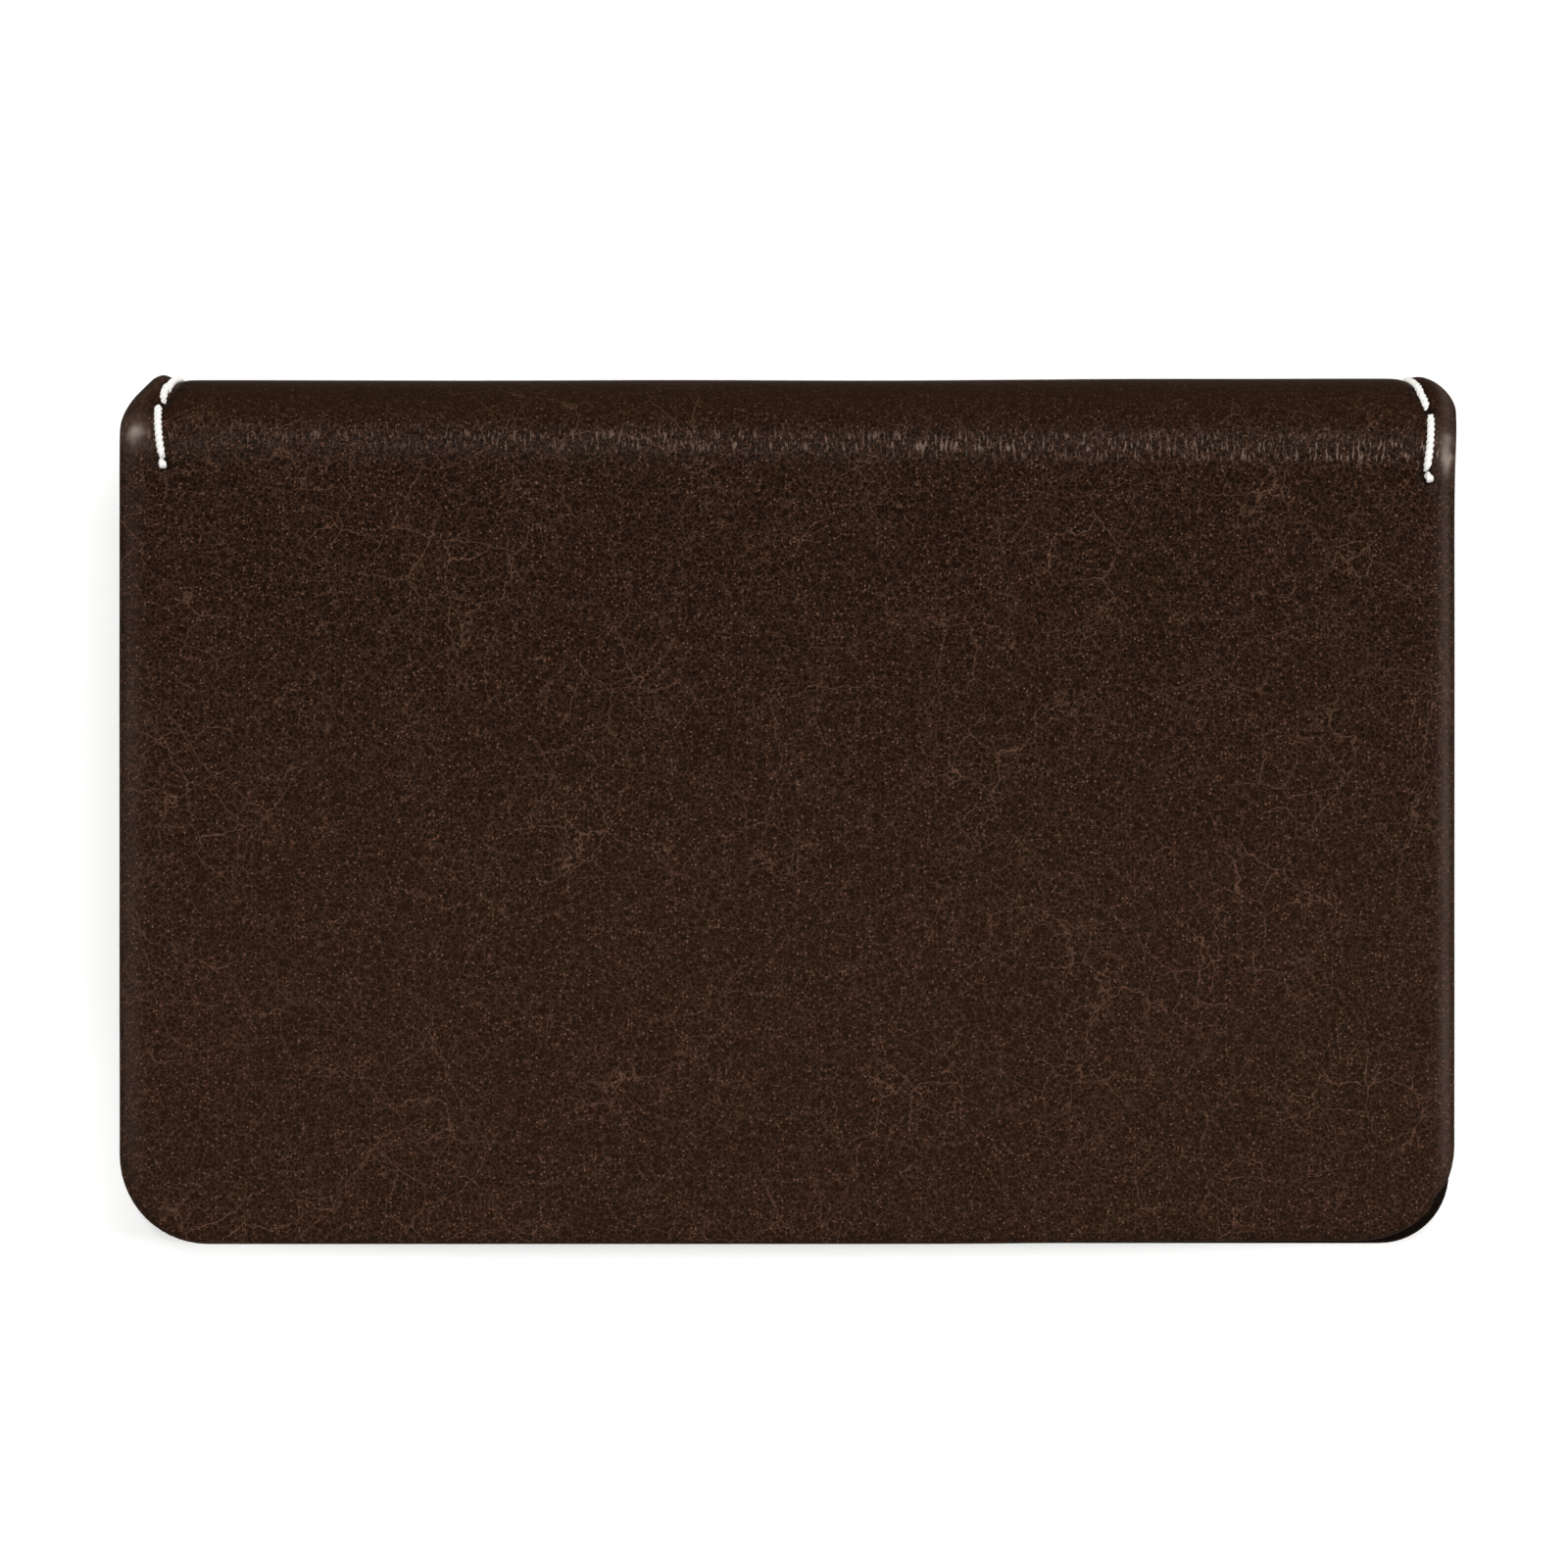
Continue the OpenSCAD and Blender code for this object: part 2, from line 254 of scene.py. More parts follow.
def calfLeather(name, look):
    # full-grain calf, aniline dyed and waxed: fine pebbles that catch the light, with painted glints on their
    # tops, a net of hair-thin creases that the wax leaves lighter, a few growth marks, and slow changes of
    # tone; in places painted shade and painted highlights lie over these
    material, tree, shader = newMaterial(name)
    times, larger, less = {"operation": "MULTIPLY"}, {"operation": "MAXIMUM"}, {"operation": "SUBTRACT"}
    unsigned, timesPlus = {"operation": "ABSOLUTE"}, {"operation": "MULTIPLY_ADD"}
    soft, colours = {"interpolation_type": "SMOOTHSTEP"}, {"data_type": "RGBA"}

    place = addNode(tree, "ShaderNodeAttribute", {"attribute_name": "leatherPlace"}, {}, "Vector")
    polishAndPaintedShine = addNode(tree, "ShaderNodeAttribute", {"attribute_name": "polishAndPaintedShine"}, {}, "Fac")
    needleAndRimShade = addNode(tree, "ShaderNodeAttribute", {"attribute_name": "needleAndRimShade"}, {}, "Fac")
    alongSpine = addNode(tree, "ShaderNodeSeparateXYZ", {}, {0: place}, 0)
    overSpine = alongSpine.node.outputs[1]

    # the places are in mm, so a scale is a count of features to the millimetre
    def strayed(source, scale, reach):
        # the places moved about by a noise, so that lines drawn on them wander
        wander = addNode(tree, "ShaderNodeTexNoise", {}, {"Vector": source, "Scale": scale, "Detail": 1.0},
                         "Color")
        centred = addNode(tree, "ShaderNodeVectorMath", less, {0: wander, 1: (0.5, 0.5, 0.5)})
        return addNode(tree, "ShaderNodeVectorMath", timesPlus,
                       {0: centred, 1: (reach, reach, reach), 2: source})

    def cloud(source, scale, low, high, detail=2.0):
        # a soft noise stretched between two levels
        field = addNode(tree, "ShaderNodeTexNoise", {}, {"Vector": source, "Scale": scale, "Detail": detail},
                        "Fac")
        return addNode(tree, "ShaderNodeMapRange", soft, {"Value": field, "From Min": low, "From Max": high})

    def cellEdges(source, size, width, patches):
        # a net of lines round cells of this size, both in mm, that shows only in patches
        net = addNode(tree, "ShaderNodeTexVoronoi", {"feature": "DISTANCE_TO_EDGE"},
                      {"Vector": source, "Scale": 1 / size}, "Distance")
        line = addNode(tree, "ShaderNodeMapRange", soft,
                       {"Value": net, "From Min": 0.2 * width / size, "From Max": width / size,
                        "To Min": 1.0, "To Max": 0.0})
        return addNode(tree, "ShaderNodeMath", times, {0: line, 1: patches})

    jagged = strayed(place, 1.9, 0.24)
    winding = strayed(strayed(place, 1.5, 0.55), 0.16, 4.0)

    # the pebbled grain: a close net of tiny furrows, and painted glints on the tops of randomly chosen
    # pebbles
    furrows = cellEdges(jagged, look["pebbleSize"], 0.035, cloud(place, 1.6, 0.32, 0.52))
    pebbles = addNode(tree, "ShaderNodeTexVoronoi", {"feature": "F1"},
                      {"Vector": jagged, "Scale": 1.25 / look["pebbleSize"]}, "Distance")
    chance = addNode(tree, "ShaderNodeSeparateColor", {}, {0: pebbles.node.outputs["Color"]})
    tops = addNode(tree, "ShaderNodeMapRange", soft,
                   {"Value": pebbles, "From Min": 0.1, "From Max": 0.32, "To Min": 1.0, "To Max": 0.0})
    glintChance = addNode(tree, "ShaderNodeMapRange", soft, {"Value": chance, "From Min": 0.3, "From Max": 0.85})
    paintedGlints = addNode(tree, "ShaderNodeMath", times, {0: tops, 1: glintChance})

    # creases that the hide opened as it was worked, and growth marks that run for centimetres
    wide = cellEdges(winding, look["creaseSize"], 0.05, cloud(place, 0.09, 0.42, 0.66))
    close = cellEdges(winding, look["creaseSize"] * 0.36, 0.034, cloud(place, 0.22, 0.38, 0.66))
    marks = cellEdges(winding, look["markSize"], 0.054, cloud(place, 0.045, 0.46, 0.6, 1.0))
    fainter = addNode(tree, "ShaderNodeMath", times, {0: close, 1: 0.55})
    lines = addNode(tree, "ShaderNodeMath", larger, {0: wide, 1: fainter})
    fainter = addNode(tree, "ShaderNodeMath", times, {0: marks, 1: 0.7})
    lines = addNode(tree, "ShaderNodeMath", larger, {0: lines, 1: fainter})

    # round the spine the grain is pulled smooth and its colour darkened as painted shade, and rubbing wears
    # the grain down
    fromApex = addNode(tree, "ShaderNodeMath", unsigned, {0: overSpine})
    bentSmoothAndShade = addNode(tree, "ShaderNodeMapRange", soft,
                   {"Value": fromApex, "From Min": 4.0, "From Max": 9.0,
                    "To Min": look["bendSmooth"], "To Max": 0.0})
    worn = addNode(tree, "ShaderNodeMath", times, {0: polishAndPaintedShine, 1: 0.6})
    smoothed = addNode(tree, "ShaderNodeMath", larger, {0: bentSmoothAndShade, 1: worn})
    grained = addNode(tree, "ShaderNodeMath", less, {0: 1.0, 1: smoothed})

    # painted shade in the hollows between pebbles, with random darker spots
    hollowShade = addNode(tree, "ShaderNodeMapRange", soft,
                     {"Value": pebbles, "From Min": 0.3, "From Max": 0.55, "To Max": 0.8})
    spotsAndHollowShade = addNode(tree, "ShaderNodeMath", larger, {0: cloud(jagged, 2.8, 0.42, 0.56), 1: hollowShade})
    lines, furrows, paintedGlints, spotsAndHollowShade = [addNode(tree, "ShaderNodeMath", times, {0: field, 1: grained})
                                    for field in (lines, furrows, paintedGlints, spotsAndHollowShade)]

    # fine wrinkles that cross the fold where the flat of the flap starts to bend, strongest to the right;
    # their colour is a painted highlight streak along the fold
    stretched = addNode(tree, "ShaderNodeMapping", {}, {"Vector": jagged, "Scale": (4.6, 1.0, 1.0)})
    foldLine = addNode(tree, "ShaderNodeMath", timesPlus, {0: alongSpine, 1: 0.0155, 2: 9.1})
    offFold = addNode(tree, "ShaderNodeMath", less, {0: fromApex, 1: foldLine})
    offFold = addNode(tree, "ShaderNodeMath", unsigned, {0: offFold})
    atFold = addNode(tree, "ShaderNodeMapRange", soft,
                     {"Value": offFold, "From Min": 0.1, "From Max": 1.6, "To Min": 1.0, "To Max": 0.0})
    rightward = addNode(tree, "ShaderNodeMapRange", soft,
                        {"Value": alongSpine, "From Min": -60.0, "From Max": 46.0,
                         "To Min": 0.35 * look["wrinkled"], "To Max": look["wrinkled"]})
    wrinklesAndHighlight = addNode(tree, "ShaderNodeMath", times, {0: cloud(stretched, 1.0, 0.54, 0.65), 1: atFold})
    wrinklesAndHighlight = addNode(tree, "ShaderNodeMath", times, {0: wrinklesAndHighlight, 1: rightward})

    # a painted sheen makes the flap's free half a little lighter, and painted highlights make the edges and
    # shoulders shine most
    freeHalfSheen = addNode(tree, "ShaderNodeMapRange", soft,
                       {"Value": overSpine, "From Min": 12.0, "From Max": 60.0})
    paintedShine = addNode(tree, "ShaderNodeMapRange", soft, {"Value": polishAndPaintedShine, "From Min": 0.5, "From Max": 1.5})

    # the dye changes slowly over the hide; what lies over it is where, how strong and which colour
    dyed = cloud(place, 0.075, 0.3, 0.7, 4.0)
    tone = addNode(tree, "ShaderNodeMix", colours,
                   {0: dyed, 6: linear(look["warm"]), 7: linear(look["olive"])}, 2)
    overlays = [
        # the first mark is painted shade in the hollows between pebbles, with random darker spots
        # the free half's tone is a painted broad sheen
        (spotsAndHollowShade, look["pitShow"], look["dark"]), (freeHalfSheen, look["freeHalfSheenShow"], look["light"]),
        # the bend tone is painted shade on the spine's top band
        (bentSmoothAndShade, 0.9, look["bend"]), (furrows, look["furrowShow"], look["light"]),
        # the specks are painted glints on the pebbles' tops
        (paintedGlints, look["glintShow"], look["light"]), (lines, look["lineShow"], look["light"]),
        # the polish tone is a painted highlight on the burnished edges and shoulders
        # the wrinkle tone is a painted highlight
        (wrinklesAndHighlight, 0.66, look["wrinkleHighlightTone"]), (polishAndPaintedShine, look["paintedSheenShow"], look["paintedSheenTone"]),
        # the needle tone is painted shade in the awl holes and on the rim's inner half
        # the shine tone is a painted highlight
        (paintedShine, 0.6, look["paintedShineTone"]), (needleAndRimShade, 0.95, look["needleAndRimShadeTone"]),
    ]
    for where, strength, colour in overlays:
        share = addNode(tree, "ShaderNodeMath", times, {0: where, 1: strength})
        tone = addNode(tree, "ShaderNodeMix", colours, {0: share, 6: tone, 7: linear(colour)}, 2)

    fine = addNode(tree, "ShaderNodeTexNoise", {}, {"Vector": place, "Scale": 5.0, "Detail": 3.0}, "Fac")
    sunk = addNode(tree, "ShaderNodeMath", times, {0: grained, 1: -look["pebbleHigh"]})
    height = addNode(tree, "ShaderNodeMath", times, {0: pebbles, 1: sunk})
    reliefs = [(lines, -look["creaseDeep"]), (fine, look["fineHigh"]), (wrinklesAndHighlight, look["wrinkleHigh"])]
    for field, rise in reliefs:
        height = addNode(tree, "ShaderNodeMath", timesPlus, {0: field, 1: rise, 2: height})
    bump = addNode(tree, "ShaderNodeBump", {}, {"Height": height, "Distance": mm, "Strength": 1.0})
    rough = addNode(tree, "ShaderNodeMath", timesPlus, {0: fine, 1: 0.12, 2: look["rough"] - 0.06})
    rough = addNode(tree, "ShaderNodeMath", timesPlus,
                    {0: polishAndPaintedShine, 1: look["polishRough"] - look["rough"], 2: rough})

    tree.links.new(tone, shader.inputs["Base Color"])
    tree.links.new(rough, shader.inputs["Roughness"])
    tree.links.new(bump, shader.inputs["Normal"])
    shader.inputs["IOR"].default_value = 1.5
    shader.inputs["Specular IOR Level"].default_value = look["specular"]
    return material


# sizes and heights in mm, and how strongly each mark shows
coverLook = {
    "pebbleSize": 0.4, "pebbleHigh": 0.05, "creaseSize": 3.4, "creaseDeep": 0.02, "fineHigh": 0.012,
    "wrinkled": 1.0, "wrinkleHigh": 0.06, "markSize": 17.0, "bendSmooth": 0.64, "rough": 0.38,
    "polishRough": 0.25, "specular": 0.035, "lineShow": 0.48, "glintShow": 0.95, "furrowShow": 0.24,
    "pitShow": 0.88, "freeHalfSheenShow": 0.035, "paintedSheenShow": 0.22,
    # below, the bend and needle tones are painted shade, and the wrinkle, wax and shine tones are painted
    # highlights
    "warm": "#2a150c", "olive": "#271609", "dark": "#0d0501", "bend": "#1c0f04", "light": "#694c3c",
    "wrinkleHighlightTone": "#806b5f", "paintedSheenTone": "#85746a", "paintedShineTone": "#a3978e", "needleAndRimShadeTone": "#0d0703",
}
pocketLook = {**coverLook, "markSize": 21.0, "bendSmooth": 0.3, "wrinkled": 0.0, "lineShow": 0.3,
              "glintShow": 0.4, "furrowShow": 0.3}
liningLook = {
    **coverLook, "pebbleSize": 0.7, "pebbleHigh": 0.02, "creaseSize": 4.0, "creaseDeep": 0.01, "rough": 0.62,
    "polishRough": 0.55, "specular": 0.2, "lineShow": 0.2, "glintShow": 0.2, "furrowShow": 0.2,
    "bendSmooth": 0.2, "wrinkled": 0.0, "freeHalfSheenShow": 0.0, "paintedSheenShow": 0.1, "pitShow": 0.4,
    "warm": "#4b3527", "olive": "#463222", "dark": "#38271b", "bend": "#402d1f", "light": "#6b5140",
}


def waxedThread(name):
    # bonded polyester sewing thread, waxed: near white, with a soft sheen and grime between its plies
    material, tree, shader = newMaterial(name)
    where = addNode(tree, "ShaderNodeTexCoord", {}, {}, "Object")
    fuzz = addNode(tree, "ShaderNodeTexNoise", {}, {"Vector": where, "Scale": 9000.0, "Detail": 2.0}, "Fac")
    grime = addNode(tree, "ShaderNodeTexNoise", {}, {"Vector": where, "Scale": 700.0, "Detail": 2.0}, "Fac")
    tone = addNode(tree, "ShaderNodeMix", {"data_type": "RGBA"},
                   {0: grime, 6: linear("#f4f3ef"), 7: linear("#dcd9d0")}, 2)
    bump = addNode(tree, "ShaderNodeBump", {}, {"Height": fuzz, "Distance": 0.03 * mm})
    tree.links.new(tone, shader.inputs["Base Color"])
    tree.links.new(bump, shader.inputs["Normal"])
    shader.inputs["Roughness"].default_value = 0.55
    shader.inputs["Sheen Weight"].default_value = 0.15
    return material


def greyBoard(name):
    # pressed grey board, cut from a sheet: dull, with short fibres of mixed greys
    material, tree, shader = newMaterial(name)
    where = addNode(tree, "ShaderNodeTexCoord", {}, {}, "Object")
    longer = addNode(tree, "ShaderNodeMapping", {}, {"Vector": where, "Scale": (300.0, 1600.0, 1600.0)})
    fibres = addNode(tree, "ShaderNodeTexNoise", {}, {"Vector": longer, "Scale": 1.0, "Detail": 4.0}, "Fac")
    tone = addNode(tree, "ShaderNodeMix", {"data_type": "RGBA"},
                   {0: fibres, 6: linear("#a39c8f"), 7: linear("#6f695f")}, 2)
    bump = addNode(tree, "ShaderNodeBump", {}, {"Height": fibres, "Distance": 0.05 * mm})
    tree.links.new(tone, shader.inputs["Base Color"])
    tree.links.new(bump, shader.inputs["Normal"])
    shader.inputs["Roughness"].default_value = 0.9
    return material


coverLeather = calfLeather("calfWaxedDarkBrown", coverLook)
pocketLeather = calfLeather("calfWaxedPocket", pocketLook)
liningLeather = calfLeather("sheepskinLining", liningLook)
threadWhite = waxedThread("threadWaxedWhite")
boardGrey = greyBoard("boardGreyPressed")
print("materials made")

# The spine's two ends, left and right. A stitch runs between two holes, each as mm in from the cover's edge
# and mm along the leather; the shine, a burnished patch with a painted highlight, is mm in, mm from the apex
# and two widths; the rubbed edge, burnished and with a painted highlight, is mm in, width, strength.
spineEnds = {
    -1: {
        "corner": 4.2 * mm, "ear": 0.4 * mm, "flare": 0.0, "rise": 0.0,
        "shine": (1.3, 8.2, 1.1, 1.6), "edgeRubAndShine": (1.0, 0.8, 0.2),
        "stitches": [((3.75, 11.1), (3.6, 10.65)), ((3.65, 10.4), (3.3, 5.5)), ((3.65, 5.15), (4.05, 2.3)),
                     ((4.0, 3.5), (5.1, -0.7)), ((4.9, -0.9), (4.0, -3.3)), ((4.0, -3.6), (3.4, -5.7)),
                     ((3.4, -6.0), (3.3, -8.0))],
    },
    1: {
        "corner": 2.7 * mm, "ear": 0.02 * mm, "flare": 0.22 * mm, "rise": 0.14 * mm,
        "shine": (0.8, 9.8, 0.8, 2.4), "edgeRubAndShine": (0.8, 0.5, 0.5),
        "stitches": [((2.2, 12.25), (2.4, 11.75)), ((2.5, 11.5), (2.1, 6.45)), ((2.4, 6.1), (3.0, 3.7)),
                     ((2.75, 4.2), (4.2, 0.1)), ((3.9, -0.1), (3.3, -2.3)), ((3.3, -2.6), (2.7, -4.8)),
                     ((2.7, -5.1), (2.7, -8.0))],
    },
}
# what the thread does to the leather: each a depth or height and how far it spreads
sewing = {
    "along": (0.15 * mm, 0.42 * mm), "hole": (0.34 * mm, 0.36 * mm), "swell": (0.13 * mm, 0.6 * mm),
    "swellFrom": 1.25 * mm, "dark": 0.42 * mm, "earFrom": 2.9 * mm, "earWide": 1.1 * mm, "earLong": 3.2 * mm,
}
thread = {"diameter": 0.64 * mm, "lobes": 3, "lobeHigh": 0.15, "twist": 1.4 * mm, "hole": 0.9 * mm,
          "proud": 0.12 * mm, "sides": 18}


def holeAt(side, hole):
    return Vector((side * (halfWidth - hole[0] * mm), hole[1] * mm, 0))


def stitchesAt(side):
    return [(holeAt(side, start), holeAt(side, end)) for start, end in spineEnds[side]["stitches"]]


def alongStitch(point, start, end):
    # how far along a stitch a point is, from 0 to 1, and its distance from the stitch in the flat
    line = end - start
    flatPoint = Vector((point.x, point.y, 0))
    share = min(max((flatPoint - start).dot(line) / line.length_squared, 0.0), 1.0)
    return share, (flatPoint - start - line * share).length


def endCut(place, side):
    # how far the leather's end is drawn in at the spine, so that from above its round rim makes an arc
    rim = cover["edgeRound"]
    corner = spineEnds[side]["corner"] - rim
    softened = math.sqrt(place * place + mm * mm)
    if softened >= quarterRoll:
        return 0.0
    rise = corner - (spineRadius - rim) * (1 - math.cos(softened / spineRadius))
    return corner - math.sqrt(max(corner * corner - rise * rise, 0.0)) if rise > 0 else 0.0


def drawIn(bm, solidReach=2.6 * mm, softReach=9 * mm):
    # pulls both ends of the flat work in at the spine, and lets the leather flare beside the arc
    for vert in bm.verts:
        side = 1 if vert.co.x > 0 else -1
        ramp = smoothStep(halfWidth - softReach, halfWidth - solidReach, abs(vert.co.x))
        flare = spineEnds[side]["flare"] * bell(abs(vert.co.y) - 6 * mm, 5 * mm)
        vert.co.x -= side * ramp * (endCut(vert.co.y, side) - flare)


def sewnDepth(point):
    # how far the stitches press the outer face in, less where the leather swells beside them
    side = 1 if point.x > 0 else -1
    flatPoint = Vector((point.x, point.y, 0))
    along, alongWide = sewing["along"]
    hole, holeWide = sewing["hole"]
    swell, swellWide = sewing["swell"]
    depth, nearest, shift = 0.0, 1.0, 0.0
    for start, stop in stitchesAt(side):
        share, distance = alongStitch(point, start, stop)
        if distance < nearest:
            nearest = distance
            shift = side * (point.x - (start + (stop - start) * share).x)
        depth = max(depth, along * bell(distance, alongWide))
        depth = max(depth, hole * bell((flatPoint - start).length, holeWide))
        depth = max(depth, hole * bell((flatPoint - stop).length, holeWide))
    if shift > 0:
        depth -= swell * bell(nearest - sewing["swellFrom"], swellWide)
    ear = bell(halfWidth - abs(point.x) - sewing["earFrom"], sewing["earWide"])
    return depth - spineEnds[side]["ear"] * ear * bell(point.y, sewing["earLong"])


def paintedNeedleAndRimShade(point):
    # painted shade: the awl's holes are darkened, most of all where two stitches meet, and so is the inner
    # half of the rim
    inner = 0.95 * smoothStep(0.45 * coverThick, 0.65 * coverThick, point.z)
    if abs(point.y) > quarterRoll + 3 * mm or abs(point.x) < halfWidth - 7 * mm or inner:
        return inner
    side = 1 if point.x > 0 else -1
    flatPoint = Vector((point.x, point.y, 0))
    nearest = min((flatPoint - hole).length for stitch in stitchesAt(side) for hole in stitch)
    return bell(nearest, sewing["dark"])


def burnishAndPaintedShine(point):
    # the rolled edges and the spine's shoulders are rubbed smooth, unevenly, and get a painted highlight
    # there
    side = 1 if point.x > 0 else -1
    fromSide = halfWidth - abs(point.x)
    fromEnd = min(flapEnd - point.y, point.y - backEnd)
    inFrom, across, edgeRubAndShine = spineEnds[side]["edgeRubAndShine"]
    uneven = edgeRubAndShine * (0.8 + 0.5 * noise.noise(point / (9 * mm)))
    edge = uneven * bell(fromSide - inFrom * mm, across * mm) * smoothStep(1 * mm, 8 * mm, fromEnd)
    inside, along, wide, high = (value * mm for value in spineEnds[side]["shine"])
    patchy = 1.0 + 0.6 * noise.noise(point / (1.1 * mm))
    return max(edge, patchy * bell(fromSide - inside, wide) * bell(abs(point.y) - along, high))


# corners are left and right; the rest is how far the handmade cover strays from a true rectangle
cover = {
    "flapCorner": (7.2 * mm, 7.7 * mm), "backCorner": (6.4 * mm, 5.7 * mm),
    "edgeRound": 0.985 * coverThick / 2, "wave": 0.05 * mm, "waveSize": 18 * mm, "edgeWave": 0.05 * mm,
    "sideTrim": 0.18 * mm, "flapLonger": 0.25 * mm, "spineFull": 0.12 * mm, "sideFall": 0.22 * mm,
    "rightShort": 0.27 * mm, "backLonger": 0.2 * mm, "kinkAt": (1.4 * mm, 3.6 * mm), "kinkWide": 0.9 * mm,
    "kinkIn": (0.3 * mm, 0.12 * mm),
}
lining = {"edgeRound": 0.17 * mm, "bendSteps": 0.3 * mm, "flatSteps": 4 * mm}


def flatSheet(inset, thickness, edgeRound, segments):
    # the flat outline of the cover or the lining, as a slab
    bm = bmesh.new()
    side, low, high = halfWidth - inset, backEnd + inset, flapEnd - inset
    (lowLeft, lowRight), (highLeft, highRight) = cover["backCorner"], cover["flapCorner"]
    outlineFace(bm, [(-side, low, lowLeft - inset), (side, low, lowRight - inset),
                     (side, high, highRight - inset), (-side, high, highLeft - inset)])
    thicken(bm, thickness, edgeRound, segments)
    return bm


def cutForBend(bm, panel, fineSteps, wideSteps):
    # close cuts round the spine and wider ones over both covers
    cutAcross(bm, 1, steps(backEnd + 9 * mm, -panel - 2 * mm, wideSteps) + steps(-panel, panel, fineSteps)
              + steps(panel + 2 * mm, flapEnd - 9 * mm, wideSteps))


def makeCover():
    bm = flatSheet(0.0, coverThick, cover["edgeRound"], 8)
    panel = quarterRoll + 2.0 * mm
    cutForBend(bm, panel, 0.17 * mm, 3 * mm)
    sewn = steps(halfWidth - 6 * mm, halfWidth - 1.1 * mm, 0.2 * mm)
    cutAcross(bm, 0, steps(-halfWidth + 7.5 * mm, halfWidth - 7.5 * mm, 3 * mm) + bothSides(sewn))
    keepPlaces(bm, burnishAndPaintedShine, paintedNeedleAndRimShade)
    drawIn(bm)
    for vert in bm.verts:
        outer = max(0.0, 1 - vert.co.z / coverThick)
        where = vert.co / cover["waveSize"]
        fromRim = min(halfWidth - abs(vert.co.x), flapEnd - vert.co.y, vert.co.y - backEnd)
        inside = smoothStep(1 * mm, 9 * mm, fromRim)
        depth = cover["wave"] * noise.noise(where) * inside
        if abs(vert.co.x) > halfWidth - 8 * mm and abs(vert.co.y) < panel + 2 * mm:
            depth += sewnDepth(vert.co)
        full = cover["spineFull"] + spineEnds[1]["rise"] * smoothStep(0.0, halfWidth - 8 * mm, vert.co.x)
        depth -= full * (1 - smoothStep(0.6 * quarterRoll, 1.2 * quarterRoll, abs(vert.co.y)))
        depth += cover["sideFall"] * (1 - smoothStep(0, 3.2 * mm, halfWidth - abs(vert.co.x))) ** 2
        vert.co.z += outer * depth
        vert.co.x += (1 - inside) * cover["edgeWave"] * noise.noise(where + Vector((7, 3, 1)))
        vert.co.x -= cover["sideTrim"] * vert.co.x / halfWidth
        longer = cover["flapLonger"] - cover["rightShort"] * smoothStep(8 * mm, 46 * mm, vert.co.x)
        vert.co.y += longer * smoothStep(20 * mm, flapEnd, vert.co.y)
        vert.co.y -= cover["backLonger"] * smoothStep(20 * mm, -backEnd, -vert.co.y)
        # the flap's right corner was turned in less neatly than the others
        kinkAt = Vector((halfWidth - cover["kinkAt"][0], flapEnd - cover["kinkAt"][1], vert.co.z))
        kink = bell((vert.co - kinkAt).length, cover["kinkWide"])
        vert.co.x -= cover["kinkIn"][0] * kink
        vert.co.y -= cover["kinkIn"][1] * kink
    shadeSmooth(bm)
    bendWithSpine(bm, "cover", coverLeather, {
        "back": ["cover_back"], "lowSpine": ["cover_spine_1"], "midSpine": ["cover_spine_2", "cover_spine_3"],
        "topSpine": ["cover_spine_4"], "flap": ["cover_flap"]})


def makeLining():
    bm = flatSheet(liningInset, liningThick, lining["edgeRound"], 3)
    bmesh.ops.translate(bm, verts=bm.verts[:], vec=(0, 0, coverThick))
    cutForBend(bm, quarterRoll + 1.0 * mm, lining["bendSteps"], lining["flatSteps"])
    ends = steps(halfWidth - 10 * mm, halfWidth - 2.6 * mm, 0.8 * mm)
    middle = steps(-halfWidth + 14 * mm, halfWidth - 14 * mm, lining["flatSteps"])
    cutAcross(bm, 0, middle + bothSides(ends))
    keepPlaces(bm)
    drawIn(bm)
    shadeSmooth(bm)
    bendWithSpine(bm, "lining", liningLeather, {
        "back": ["back_lining"], "lowSpine": ["spine_lining_1"],
        "midSpine": ["spine_lining_2", "spine_lining_3"], "topSpine": ["spine_lining_4"],
        "flap": ["flap_lining"]})


